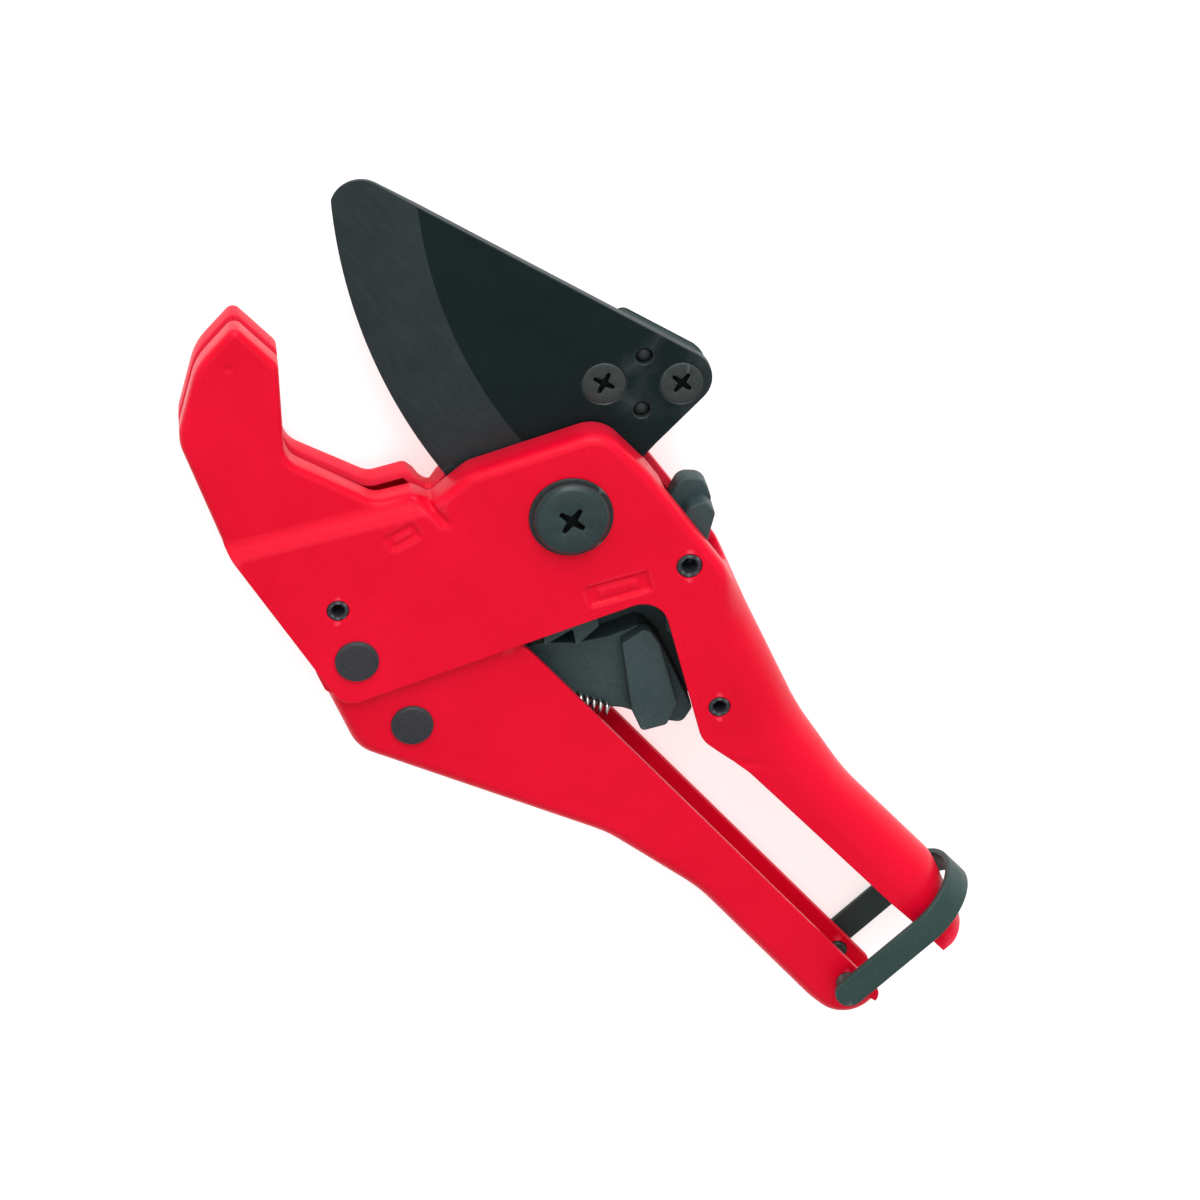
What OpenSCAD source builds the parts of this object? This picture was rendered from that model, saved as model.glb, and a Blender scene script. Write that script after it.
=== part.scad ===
// Ratchet cutter for plastic pipe, lying on its side.
// The drawing plane has its zero on the main pivot: X runs along the handles, Y towards the blade.
// Everything is moved at the end so that the origin is the bottom centre of the whole tool.

/* [Frame] */
// Thickness of the frame's sheet
frame_sheet = 2; // [1.6:0.1:2.4]
// Width of the frame across its two walls
frame_w = 20.4; // [19.6:0.2:21.2]
// Width of the jaw across its two cheeks
jaw_w = 16; // [15:0.5:16.5]
// Width of the slot that the blade closes into
slot_w = 3.2; // [2.8:0.1:4]

/* [Blade] */
// Thickness of the blade
blade_t = 2.4; // [1.8:0.1:2.6]
// Radius of the curved cutting edge
edge_r = 126; // [124:1:128]
// Width of the ground bevel along the edge
bevel_w = 18; // [10:1:22]
// Thickness left at the very edge
edge_t = 0.2; // [0.1:0.05:0.4]
// Thickness of the carrier plate behind the blade
seat_t = 4.9; // [4:0.1:5.2]
// Radius of the blade screws' shanks
blade_screw_r = 2.5; // [2:0.1:2.7]
// Radius of the blade dowels
dowel_r = 1.9; // [1.5:0.1:2.2]

/* [Ratchet] */
// Radius over the ratchet teeth
tooth_r = 34.5; // [33:0.1:34.6]
// Depth of the ratchet teeth
tooth_h = 4; // [2:0.5:5]
// Angle from one tooth to the next
tooth_pitch = 12; // [10:1:12]
// Number of teeth
tooth_count = 4; // [3:1:4]
// Thickness of the toothed sector
sector_t = 10; // [6:0.5:10]
// Radius of the carrier's hub
hub_r = 11; // [9:0.5:11.5]

/* [Lower handle] */
// Thickness of the lower handle's sheet
grip_sheet = 1.8; // [1.4:0.1:2]
// Width of the lower handle across its walls
grip_w = 15.8; // [15:0.1:15.9]

/* [Bail] */
// Thickness of the bail's strip
bail_t = 1.5; // [1.2:0.1:1.6]
// Width of the bail's strip
bail_w = 7; // [5:0.5:7.5]
// Width of the bail across its legs
bail_span = 26.8; // [26:0.2:28]

/* [Pins] */
// Radius of the main pivot's shank
pivot_r = 5; // [4:0.1:6]
// Radius of the two rivets' shanks
rivet_r = 3; // [2.5:0.1:3.5]
// Radius of the jaw pin and the stop pin
roll_pin_r = 2.4; // [2:0.1:2.6]
// Radius of the holding pawl's pin
pawl_pin_r = 2.8; // [2.4:0.1:3]
// Radial clearance of everything that turns
run = 0.05; // [0.02:0.01:0.1]

/* [Hidden] */

// Where the main pivot stands above the bottom centre of the whole tool
PIVOT_AT = [-28.937, 14.626, 13.4];

RED = [0.88, 0.07, 0.18];
BLACK_STEEL = [0.2, 0.25, 0.25];
DARK_STEEL = [0.12, 0.15, 0.16];
SPRING_STEEL = [0.62, 0.63, 0.62];

FRAME_Z = frame_w / 2;
WALL_IN = FRAME_Z - frame_sheet;
JAW_Z = jaw_w / 2;
GRIP_Z = grip_w / 2;
GRIP_IN = GRIP_Z - grip_sheet;
BAIL_Z = bail_span / 2;
BLADE_Z = blade_t / 2;
HUB_Z = 7.6;
FAR = 60;

// Places of the pins in the drawing plane
RIVET_AT = [-8, -57];
DRIVE_AT = [13.2, -60.3];
HOLD_AT = [27.6, 10];
JAW_PIN_AT = [-19.7, -51.4];
STOP_AT = [58.5, -8.8];
BAIL_AT = [135.2, -37];
POST_AT = [3, -47];

// Blade screws and dowels stand in a cross around this point
FIX_AT = [-8.4, 30.4];
SCREW_STEP = 8.5;
DOWEL_STEP = 6.3;
SCREW_HEAD_R = blade_screw_r + blade_t;

// Centre of the cutting edge's arc
EDGE_AT = [-7, 110];

function unit(v) = v / norm(v);

// Points along the rounded corner at b, between a and c, each [x, y, radius]
function corner(a, b, c, steps) =
  let (p = [b[0], b[1]])
  let (u = unit([a[0], a[1]] - p))
  let (v = unit([c[0], c[1]] - p))
  let (half = acos(u * v) / 2)
  let (mid = p + unit(u + v) * b[2] / sin(half))
  let (from = p + u * b[2] / tan(half) - mid)
  let (start = atan2(from[1], from[0]))
  let (turn = (180 - 2 * half) * (u[0] * v[1] - u[1] * v[0] > 0 ? -1 : 1))
  b[2] == 0
    ? [p]
    : [for (k = [0 : steps]) mid + b[2] * [cos(start + turn * k / steps), sin(start + turn * k / steps)]];

// Outline with every corner rounded to its own radius
function rounded(pts, steps = 6) =
  let (n = len(pts))
  [for (i = [0 : n - 1]) each corner(pts[(i + n - 1) % n], pts[i], pts[(i + 1) % n], steps)];

// Frame seen from the side; the upper handle's top line is cut by its round back
FRAME_OUTLINE = [
  [-82.4, -20.6, 2], [-81.4, -33, 14], [-72.5, -47.6, 10], [-47, -58.6, 25], [-1.6, -67.2, 5],
  [28.6, 0.6, 6], [62, -17.3, 7], [76, -15.3, 10], [144.7, -15.5, 2.5],
  [144.7, 11, 0], [60, 11, 0], [5, 18.7, 16], [-9.6, 18.7, 8],
  [-22.8, -9, 8], [-23.6, -18.5, 1], [-27, -22.6, 2.5], [-33, -29.8, 6], [-52.5, -35, 6], [-69.3, -20.4, 2.5]
];

// Hollow inside each cheek of the jaw
CHEEK_HOLLOW = [
  [-79.6, -23.4, 1], [-78.9, -32.8, 11], [-71, -45.6, 8], [-46.4, -56.1, 22], [-30, -58.5, 0],
  [-10, -20, 0], [-24, -22, 0], [-31.7, -32, 5], [-52.8, -37.8, 7], [-70, -23, 1]
];

// Jaw side of the crease where the frame steps out to its full width
JAW_SIDE = [[-110, 20, 0], [-26.3, 20, 0], [-26.3, -19, 0], [-51.2, -72, 0], [-110, -72, 0]];
// Space between the body's two walls, inside the rim along its top
BODY_HOLLOW = [
  [-21.4, -19, 0], [-20.8, -9.4, 6], [-8.4, 16.7, 6], [4.9, 16.7, 14], [36, 12.7, 0], [36, -72, 0],
  [-48.5, -72, 0]
];
// Heights between which the blade and its carrier pass through the rim
BLADE_GAP = [-6.4, 1.6];
// Heights between which the release lever passes through the rim, and where its gap begins
LEVER_GAP = [-6.4, 5.4];
LEVER_GAP_X = 10.5;
// Where the folded back of the upper handle begins
BODY_END = 36;

// Top line of the upper handle, joint by joint
HANDLE_TOP = [[33.5, 15.9], [76, 1.4], [97, -2.3], [126.6, -2.5]];
// How much narrower each stretch of the handle is than the one before it
BAR_STEP = 0.05;
// The last stretch is a neck that lets the bail swing off over the handle's end
NECK_TOP = [[128.6, -2.9], [151.2, -10.9]];
NECK_R = 9.2;

LOWER_OUTLINE = [
  [-16, -50, 7], [-16, -64.5, 8], [9.5, -73.6, 9], [66, -49.6, 30], [92, -44.9, 40], [133, -46.4, 20],
  [144.4, -45.4, 8.5], [144.4, -33.4, 3], [16, -29.4, 6], [2, -43, 8]
];
// Space inside the folded lower handle, open towards the upper handle and at the heel
LOWER_HOLLOW = [
  [-30, -20, 0], [-30, -80, 0], [-6, -80, 0], [-6, -66.2, 0], [9.3, -71.6, 7.2], [65.5, -47.8, 30],
  [92, -43.1, 40], [133, -44.6, 20], [142.6, -43.8, 6.7], [142.6, -20, 0]
];

BLADE_OUTLINE = [
  [-94.3, 17.8, 6.5], [-76, 3.3, 0], [-60, -9, 0], [-24, -18.5, 1], [-15, -11, 2], [-13, 3, 5],
  [-5, 13.6, 4], [4.6, 15.6, 1.5], [3.1, 45.7, 6.5]
];
// Plate of the carrier that the blade is screwed to
SEAT_OUTLINE = [[-22.2, 37.3, 1.5], [2.4, 44.4, 6.5], [5.2, 15, 3], [9.5, 2, 0], [-9.5, -3, 0], [-14, 12, 4]];
// Upper edge of the toothed sector, in degrees
SECTOR_TOP = -30;

// Drive pawl, whose inner edge follows the tips of the teeth
DRIVE_BODY = [
  [7, -57, 2], [21.8, -28, 2], [27.2, -22.8, 0], [31.3, -16.7, 0], [34.1, -10, 0.8], [36, -9.2, 1],
  [41, -9.4, 1.5], [58.4, -15.4, 1.5], [59.6, -19.6, 2], [55.5, -22.6, 2], [47, -26.5, 4], [41, -31.5, 5],
  [19.5, -62, 2]
];
// Thin leaf of the pawl that covers the teeth at the back
DRIVE_LEAF = [
  [21.8, -28, 0], [21.5, -21, 3], [25.5, -7, 2], [31, -2.8, 2.5], [37.5, -2.2, 2], [49, -8.6, 3],
  [58.2, -14.8, 1], [55, -20, 0], [45, -22, 0], [30, -30, 0]
];
LEAF_T = 0.7;
DRIVE_HEAD = [
  [33.4, -14.8, 0.6], [34.3, -9, 1], [36, -8.2, 1], [39.6, -8.8, 1], [53.6, -16.2, 1.2],
  [55.8, -21.5, 1.2], [53, -26.6, 1.2], [47.2, -24.5, 1]
];
// Height of the pawl's back face, and the one at which its head steps forward from its body
DRIVE_BACK = -6;
DRIVE_STEP = 1.5;
DRIVE_BOSS_R = 6.5;
HOLD_NOSE = [
  [35.2, -1, 0.3], [35.5, -3.4, 0.6], [39.5, -6.6, 2.5], [43.3, -1, 4], [38, 7.4, 6], [31, 13.4, 3],
  [27, 13.4, 0], [30, 6, 0], [33.2, 6.3, 1.5], [36.8, 2, 1.5]
];
HOLD_TAIL = [
  [31.4, 11.5, 1.5], [27.2, 17.3, 2], [24.4, 21.6, 1.6], [20.8, 21.9, 1.5], [19.2, 18.4, 2], [23.2, 8.5, 2]
];
HOLD_PAD = [[24.4, 21.8, 2], [18.6, 24.2, 3.2], [14.6, 20.6, 3], [16.6, 15.6, 1], [22, 14, 1]];
HOLD_BOSS_R = 5;

BOLT_HEAD_R = 8.4;
BOLT_HEAD_H = 2.1;
NUT_R = 8.4;
WASHER_T = 0.6;
RIVET_HEAD_R = 4.9;
JAW_SLEEVE_R = 3.2;
STOP_SLEEVE_R = 4.5;
HANDLE_SLEEVE_R = 4.1;
POST_R = 1.2;
PEG_R = 2.2;
// Where the bow's half-round begins in the drawing plane
BAIL_BOW_Y = -14.1;
// End of the drive pawl's spring at the pawl's head
SPRING_END = [45, -28];
// Depth of the faces that the tool lies on, below the middle plane
BASE_Z = 13.4;

module plate(pts, z0, z1, steps = 6) {
  translate([0, 0, z0])
    linear_extrude(z1 - z0)
      polygon(rounded(pts, steps));
}

module at(p, z = 0) {
  translate([p[0], p[1], z]) children();
}

// Round bar from z0 to z1
module rod(r, z0, z1, fn = 48) {
  translate([0, 0, z0]) cylinder(r = r, h = z1 - z0, $fn = fn);
}

module tube(r_out, r_in, z0, z1) {
  difference() {
    rod(r_out, z0, z1);
    rod(r_in, z0 - 1, z1 + 1);
  }
}

// Cross recess cut into a screw head whose face is at z
module cross_cut(z, arm, w, deep) {
  for (a = [0, 90])
    translate([0, 0, z]) rotate([0, 0, a]) cube([arm * 2, w, deep * 2], center = true);
}

// Half-round back in narrow flats, with its sides running down
function back_profile(r) =
  concat([[-FAR, -r]], [for (a = [-90 : 10 : 90]) r * [cos(a), sin(a)]], [[-FAR, r]]);

// Bar with a round back of radius r whose top line runs from a to b, smaller all round by less
module round_back_bar(a, b, r, less, over) {
  slope = atan2(b[1] - a[1], b[0] - a[0]);
  translate([a[0], a[1], 0])
    rotate([0, 0, slope])
      translate([-over, -r, 0])
        rotate([90, 0, 90])
          linear_extrude(norm(b - a) + 2 * over)
            polygon(back_profile(r - less));
}

// Directions of a path at its points, and sideways directions carried along it without twist
function ahead(path) =
  let (n = len(path) - 1)
  [for (i = [0 : n]) unit(path[min(i + 1, n)] - path[max(i - 1, 0)])];
function square_to(v, t) = unit(v - (v * t) * t);
function sideways(t, first) =
  [for (i = 0, v = square_to(first, t[0]); i < len(t); i = i + 1, v = i < len(t) ? square_to(v, t[i]) : v) v];

// Points of a round winding about Z that starts at angle from and rises by pitch each turn
function winding(r, z, pitch, turns, from = 0, seg = 14) =
  [for (i = [0 : round(turns * seg)])
    let (a = from + 360 * i / seg)
    [r * cos(a), r * sin(a), z + pitch * i / seg]];

// Round wire along a path, as one closed mesh
module wire(path, r, first, sides = 6) {
  t = ahead(path);
  v = sideways(t, first);
  last = len(path) - 1;
  pts = [for (i = [0 : last], j = [0 : sides - 1])
    let (b = 360 * j / sides)
    path[i] + r * (cos(b) * v[i] + sin(b) * cross(t[i], v[i]))];
  walls = [for (i = [0 : last - 1], j = [0 : sides - 1])
    let (k = (j + 1) % sides)
    [i * sides + j, (i + 1) * sides + j, (i + 1) * sides + k, i * sides + k]];
  caps = [[for (j = [0 : sides - 1]) j], [for (j = [0 : sides - 1]) last * sides + sides - 1 - j]];
  polyhedron(points = pts, faces = concat(walls, caps), convexity = 10);
}

// Jaw, body and upper handle, folded from one sheet
module frame() {
  color(RED)
    difference() {
      union() {
        intersection() {
          plate(FRAME_OUTLINE, -JAW_Z, JAW_Z);
          plate(JAW_SIDE, -JAW_Z - 1, JAW_Z + 1);
        }
        difference() {
          plate(FRAME_OUTLINE, -FRAME_Z, FRAME_Z);
          plate(JAW_SIDE, -FRAME_Z - 1, FRAME_Z + 1);
          translate([BODY_END, -FAR, -FAR]) cube([4 * FAR, 2 * FAR, 2 * FAR]);
        }
        intersection() {
          plate(FRAME_OUTLINE, -FRAME_Z - 1, FRAME_Z + 1);
          handle_bars(0);
          translate([BODY_END, -FAR, -FAR]) cube([4 * FAR, 2 * FAR, 2 * FAR]);
        }
      }
      plate(BODY_HOLLOW, -WALL_IN, WALL_IN);
      plate(CHEEK_HOLLOW, frame_sheet - JAW_Z, JAW_Z - frame_sheet);
      translate([-110, -80, -slot_w / 2]) cube([90, 80, slot_w]);
      translate([-30, -14, BLADE_GAP[0]]) cube([LEVER_GAP_X + 30, 44, BLADE_GAP[1] - BLADE_GAP[0]]);
      translate([LEVER_GAP_X, 0, LEVER_GAP[0]])
        cube([BODY_END - LEVER_GAP_X, 30, LEVER_GAP[1] - LEVER_GAP[0]]);
      handle_bars(frame_sheet);
      rod(pivot_r + run, -FAR, FAR);
      at(RIVET_AT) rod(rivet_r, -FAR, FAR);
      at(JAW_PIN_AT) rod(roll_pin_r, -FAR, FAR);
      at(STOP_AT) rod(roll_pin_r, -FAR, FAR);
      at(HOLD_AT) rod(pawl_pin_r, -FAR, FAR);
    }
}

// Round-backed bars of the upper handle, cut smaller by the sheet for its inside
module handle_bars(less) {
  for (j = [1 : len(HANDLE_TOP) - 1])
    round_back_bar(HANDLE_TOP[j - 1], HANDLE_TOP[j], FRAME_Z - j * BAR_STEP, less, 4);
  round_back_bar(NECK_TOP[0], NECK_TOP[1], NECK_R, less, 0);
}

module jaw_pin() {
  color(DARK_STEEL)
    at(JAW_PIN_AT) tube(roll_pin_r, roll_pin_r - 1.1, -FRAME_Z, FRAME_Z);
}

// Keeps the two walls apart behind the jaw
module jaw_sleeve() {
  color(DARK_STEEL)
    at(JAW_PIN_AT) tube(JAW_SLEEVE_R, roll_pin_r, -WALL_IN, WALL_IN);
}

module pivot_bolt() {
  face = FRAME_Z + WASHER_T + BOLT_HEAD_H;
  color(BLACK_STEEL)
    difference() {
      union() {
        rod(pivot_r - 1, -BASE_Z, -FRAME_Z);
        rod(pivot_r, -FRAME_Z, FRAME_Z + WASHER_T);
        rod(BOLT_HEAD_R, FRAME_Z + WASHER_T, face - 0.8, 64);
        translate([0, 0, face - 0.8])
          cylinder(r1 = BOLT_HEAD_R, r2 = BOLT_HEAD_R - 0.8, h = 0.8, $fn = 64);
      }
      cross_cut(face, 3, 1.3, 1.4);
    }
}

module pivot_washer() {
  color(DARK_STEEL)
    tube(BOLT_HEAD_R + 0.9, pivot_r + run, FRAME_Z, FRAME_Z + WASHER_T);
}

// Thrust washers on both sides of the hub
module hub_washers() {
  color(DARK_STEEL)
    for (side = [0, 1])
      mirror([0, 0, side]) tube(hub_r - 1, pivot_r + run, HUB_Z + 0.05, WALL_IN);
}

module pivot_nut() {
  color(DARK_STEEL)
    difference() {
      translate([0, 0, -BASE_Z]) cylinder(r = NUT_R, h = BASE_Z - FRAME_Z, $fn = 6);
      rod(pivot_r - 1, -FAR, 0);
    }
}

// Hub, seat for the blade and toothed sector
module blade_carrier() {
  root_r = tooth_r - tooth_h;
  tooth = [[root_r, 0], [tooth_r, tooth_pitch - 2], [root_r, tooth_pitch - 1]];
  teeth = [for (i = [0 : tooth_count - 1], p = tooth)
    let (a = SECTOR_TOP - i * tooth_pitch - p[1])
    p[0] * [cos(a), sin(a)]];
  color(BLACK_STEEL)
    difference() {
      union() {
        rod(hub_r, -HUB_Z, HUB_Z, 64);
        plate(SEAT_OUTLINE, -BLADE_Z - seat_t, -BLADE_Z);
        translate([0, 0, -sector_t / 2])
          linear_extrude(sector_t)
            polygon(concat([[0, 0]], teeth));
      }
      rod(pivot_r + run, -FAR, FAR);
      blade_fixings(SCREW_STEP, 45) rod(blade_screw_r, -FAR, FAR);
      blade_fixings(DOWEL_STEP, -45) rod(dowel_r, -FAR, FAR);
    }
}

// Two places, step away from the middle of the cross along angle a
module blade_fixings(step, a) {
  for (side = [-1, 1])
    at(FIX_AT + side * step * [cos(a), sin(a)]) children();
}

module blade() {
  color(BLACK_STEEL)
    difference() {
      intersection() {
        plate(BLADE_OUTLINE, -BLADE_Z, BLADE_Z, 8);
        at(EDGE_AT) {
          rod(edge_r, -edge_t / 2, edge_t / 2, 180);
          for (side = [0, 1])
            mirror([0, 0, side])
              translate([0, 0, edge_t / 2])
                cylinder(r1 = edge_r, r2 = edge_r - bevel_w, h = BLADE_Z - edge_t / 2, $fn = 180);
        }
      }
      blade_fixings(SCREW_STEP, 45)
        translate([0, 0, -BLADE_Z])
          cylinder(r1 = blade_screw_r, r2 = SCREW_HEAD_R, h = blade_t, $fn = 48);
      blade_fixings(DOWEL_STEP, -45) rod(dowel_r, -FAR, FAR);
    }
}

module blade_screws() {
  color(BLACK_STEEL)
    blade_fixings(SCREW_STEP, 45)
      difference() {
        union() {
          rod(blade_screw_r, -BLADE_Z - seat_t, -BLADE_Z);
          translate([0, 0, -BLADE_Z])
            cylinder(r1 = blade_screw_r, r2 = SCREW_HEAD_R - 0.1, h = blade_t - 0.1, $fn = 48);
        }
        cross_cut(BLADE_Z - 0.1, 2.4, 0.9, 1.2);
      }
}

module blade_dowels() {
  color(DARK_STEEL)
    blade_fixings(DOWEL_STEP, -45) rod(dowel_r, -BLADE_Z - seat_t, BLADE_Z - 0.7);
}

module lower_handle() {
  color(RED)
    difference() {
      plate(LOWER_OUTLINE, -GRIP_Z, GRIP_Z);
      plate(LOWER_HOLLOW, -GRIP_IN, GRIP_IN);
      at(RIVET_AT) rod(rivet_r + run, -FAR, FAR);
      at(DRIVE_AT) rod(rivet_r, -FAR, FAR);
      at(BAIL_AT) rod(PEG_R + run, -FAR, FAR);
      at(POST_AT) rod(POST_R, -FAR, FAR);
    }
}

module handle_pivot_rivet() {
  color(BLACK_STEEL)
    at(RIVET_AT) {
      rod(rivet_r, -FRAME_Z - WASHER_T, FRAME_Z);
      rod(RIVET_HEAD_R, FRAME_Z, FRAME_Z + 1);
      rod(RIVET_HEAD_R, -BASE_Z, -FRAME_Z - WASHER_T);
    }
}

module handle_rivet_washer() {
  color(DARK_STEEL)
    at(RIVET_AT) tube(RIVET_HEAD_R + 1.2, rivet_r, -FRAME_Z - WASHER_T, -FRAME_Z);
}

// Keeps the walls of the lower handle apart on its rivet
module handle_pivot_sleeve() {
  color(DARK_STEEL)
    at(RIVET_AT) tube(HANDLE_SLEEVE_R, rivet_r, -GRIP_IN + 0.1, GRIP_IN - 0.1);
}

// Torsion spring that opens the handles
module handle_spring() {
  r = HANDLE_SLEEVE_R + 1.4;
  body = winding(r, -4, 2, 3.25, -90);
  color(SPRING_STEEL)
    at(RIVET_AT)
      wire(concat([[-6, -r, -4.2]], body, [[r + 0.3, 3, 2.7], [r - 1, 8, 2.9]]), 0.7, [0, 0, 1]);
}

// Pushes the toothed sector round as the handles close
module drive_pawl() {
  color(BLACK_STEEL)
    difference() {
      union() {
        plate(DRIVE_BODY, DRIVE_BACK, DRIVE_STEP);
        plate(DRIVE_LEAF, DRIVE_BACK, DRIVE_BACK + LEAF_T);
        plate(DRIVE_HEAD, DRIVE_STEP, sector_t / 2);
        at(DRIVE_AT) rod(DRIVE_BOSS_R, -GRIP_IN + 0.1, GRIP_IN - 0.1);
      }
      at(DRIVE_AT) rod(rivet_r + run, -FAR, FAR);
    }
}

module drive_pawl_rivet() {
  color(BLACK_STEEL)
    at(DRIVE_AT) {
      rod(rivet_r, -GRIP_Z, GRIP_Z);
      for (side = [0, 1])
        mirror([0, 0, side]) rod(RIVET_HEAD_R - 0.1, GRIP_Z, GRIP_Z + 1);
    }
}

// Extension spring between the post and the head of the drive pawl
module drive_pawl_spring() {
  reach = SPRING_END - POST_AT;
  wound = 20;
  r = 1.3;
  from = norm(reach) - wound;
  color(SPRING_STEEL)
    at(POST_AT, 3.3)
      rotate([0, 0, atan2(reach[1], reach[0])])
        rotate([0, 90, 0])
          wire(concat(
            [[0, 0, POST_R + 0.6], [0, 0, from - 1.5], [r / 2, 0, from - 0.6]],
            winding(r, from, 1.6, 12, 0, 10)
          ), 0.42, [0, 1, 0]);
}

module spring_post() {
  color(DARK_STEEL)
    at(POST_AT) rod(POST_R, -GRIP_Z, GRIP_Z, 24);
}

// Holds the sector between strokes; its tail is the release lever
module holding_pawl() {
  color(BLACK_STEEL)
    difference() {
      union() {
        plate(HOLD_NOSE, -sector_t / 2, sector_t / 2);
        plate(HOLD_TAIL, -sector_t / 2, sector_t / 2);
        plate(HOLD_PAD, -sector_t / 2, 0);
        at(HOLD_AT) rod(HOLD_BOSS_R, -sector_t / 2, sector_t / 2);
      }
      at(HOLD_AT) rod(pawl_pin_r + run, -FAR, FAR);
    }
}

module holding_pawl_pin() {
  color(DARK_STEEL)
    at(HOLD_AT) tube(pawl_pin_r, pawl_pin_r - 1.2, -FRAME_Z, FRAME_Z);
}

// Torsion spring that presses the holding pawl onto the teeth
module holding_pawl_spring() {
  r = pawl_pin_r + 0.35;
  z = sector_t / 2 + 0.7;
  body = winding(r, z, 0.8, 2.25, 0);
  color(SPRING_STEEL)
    at(HOLD_AT)
      wire(concat([[r, -6, z]], body, [[-5, r, z + 1.9]]), 0.3, [0, 0, 1]);
}

module stop_pin() {
  color(DARK_STEEL)
    at(STOP_AT) tube(roll_pin_r, roll_pin_r - 1.1, -FRAME_Z, FRAME_Z);
}

// Keeps the walls of the upper handle apart
module stop_sleeve() {
  color(DARK_STEEL)
    at(STOP_AT) tube(STOP_SLEEVE_R, roll_pin_r, 0.1 - WALL_IN, WALL_IN - 0.1);
}

// Strip bent over the upper handle that locks the handles together
module lock_bail() {
  half = bail_w / 2;
  foot = BAIL_AT[1] - half;
  color(BLACK_STEEL)
    intersection() {
      plate([
        [BAIL_AT[0] - half, foot, half - 0.01], [BAIL_AT[0] + half, foot, half - 0.01],
        [BAIL_AT[0] + half, 10, 0], [BAIL_AT[0] - half, 10, 0]
      ], -FAR, FAR, 12);
      difference() {
        bail_bow(BAIL_Z, 0);
        bail_bow(BAIL_Z - bail_t, 1);
      }
    }
}

// Half-round bow with straight legs, r across, longer than the strip by over at both sides
module bail_bow(r, over) {
  translate([BAIL_AT[0] - bail_w / 2 - over, BAIL_BOW_Y, 0])
    rotate([90, 0, 90])
      linear_extrude(bail_w + 2 * over)
        union() {
          circle(r = r, $fn = 96);
          translate([-FAR, -r]) square([FAR, 2 * r]);
        }
}

// Pegs fixed in the bail's feet, turning in the lower handle's walls
module bail_pegs() {
  color(DARK_STEEL)
    at(BAIL_AT)
      for (side = [0, 1])
        mirror([0, 0, side]) {
          rod(PEG_R, GRIP_IN - 0.6, BAIL_Z - bail_t);
          rod(PEG_R + 1, GRIP_Z + 0.2, BAIL_Z - bail_t);
        }
}

translate(PIVOT_AT) {
  frame();
  jaw_pin();
  jaw_sleeve();
  pivot_bolt();
  pivot_washer();
  hub_washers();
  pivot_nut();
  blade_carrier();
  blade();
  blade_screws();
  blade_dowels();
  lower_handle();
  handle_pivot_rivet();
  handle_rivet_washer();
  handle_pivot_sleeve();
  handle_spring();
  drive_pawl();
  drive_pawl_rivet();
  drive_pawl_spring();
  spring_post();
  holding_pawl();
  holding_pawl_pin();
  holding_pawl_spring();
  stop_pin();
  stop_sleeve();
  lock_bail();
  bail_pegs();
}
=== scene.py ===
"""Looks of the ratchet cutter for plastic pipe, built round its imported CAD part.

Shapes are laid out in the CAD's drawing plane, in millimetres with the zero on the main pivot,
and each finished mesh is moved into the row frame, in metres.
"""

import math

import bmesh
import bpy
import numpy as np
from mathutils import Matrix, Vector
from mathutils.geometry import delaunay_2d_cdt


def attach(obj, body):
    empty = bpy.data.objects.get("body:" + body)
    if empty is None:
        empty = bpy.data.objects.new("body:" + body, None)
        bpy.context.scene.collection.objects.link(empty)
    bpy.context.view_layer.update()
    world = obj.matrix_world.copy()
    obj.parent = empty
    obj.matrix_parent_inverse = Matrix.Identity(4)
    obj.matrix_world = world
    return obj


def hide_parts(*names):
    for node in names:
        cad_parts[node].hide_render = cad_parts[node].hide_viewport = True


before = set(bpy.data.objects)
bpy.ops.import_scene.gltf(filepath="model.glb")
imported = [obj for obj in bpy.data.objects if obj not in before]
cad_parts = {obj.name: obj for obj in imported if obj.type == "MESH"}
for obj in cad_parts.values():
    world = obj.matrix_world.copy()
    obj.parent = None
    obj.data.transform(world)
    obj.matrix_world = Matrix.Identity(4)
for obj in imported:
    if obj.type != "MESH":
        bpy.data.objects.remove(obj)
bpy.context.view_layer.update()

# Main pivot above the bottom centre of the tool
PIVOT = np.array([-28.937, 14.626, 13.4])

# Places of the pins
RIVET_AT = (-8, -57)
DRIVE_AT = (13.2, -60.3)
HOLD_AT = (27.6, 10)
JAW_PIN_AT = (-19.7, -51.4)
STOP_AT = (58.5, -8.8)
BAIL_AT = (135.2, -37)
POST_AT = (3, -47)
FIX_AT = np.array([-8.4, 30.4])
EDGE_AT = np.array([-7, 110])

# Distance from FIX_AT and direction in degrees of the blade's screws and dowels
SCREW_FIX = (8.5, 45)
DOWEL_FIX = (6.3, -45)

# Heights over the middle plane, and thicknesses
FRAME_Z = 10.2
JAW_Z = 8
FRAME_SHEET = 2
GRIP_Z = 7.9
GRIP_SHEET = 1.8
BLADE_Z = 1.2
SEAT_T = 4.9
SEAT_BACK = -BLADE_Z - SEAT_T
SECTOR_Z = 5
PAWL_BACK = -6
PAWL_STEP = 1.5
BAIL_Z = 13.4
BAIL_T = 1.5
BASE_Z = 13.4

# Radii of the blade's edge and of its bevel's inner border, both about EDGE_AT
EDGE_R = 126
BEVEL_R = 108

BAIL_W = 7
BAIL_BOW_Y = -14.1

# The visible outlines lie this much inside the CAD's own
TRIM = 0.015


# ---------------------------------------------------------------- outlines


def unit(v):
    return v / np.linalg.norm(v)


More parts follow.
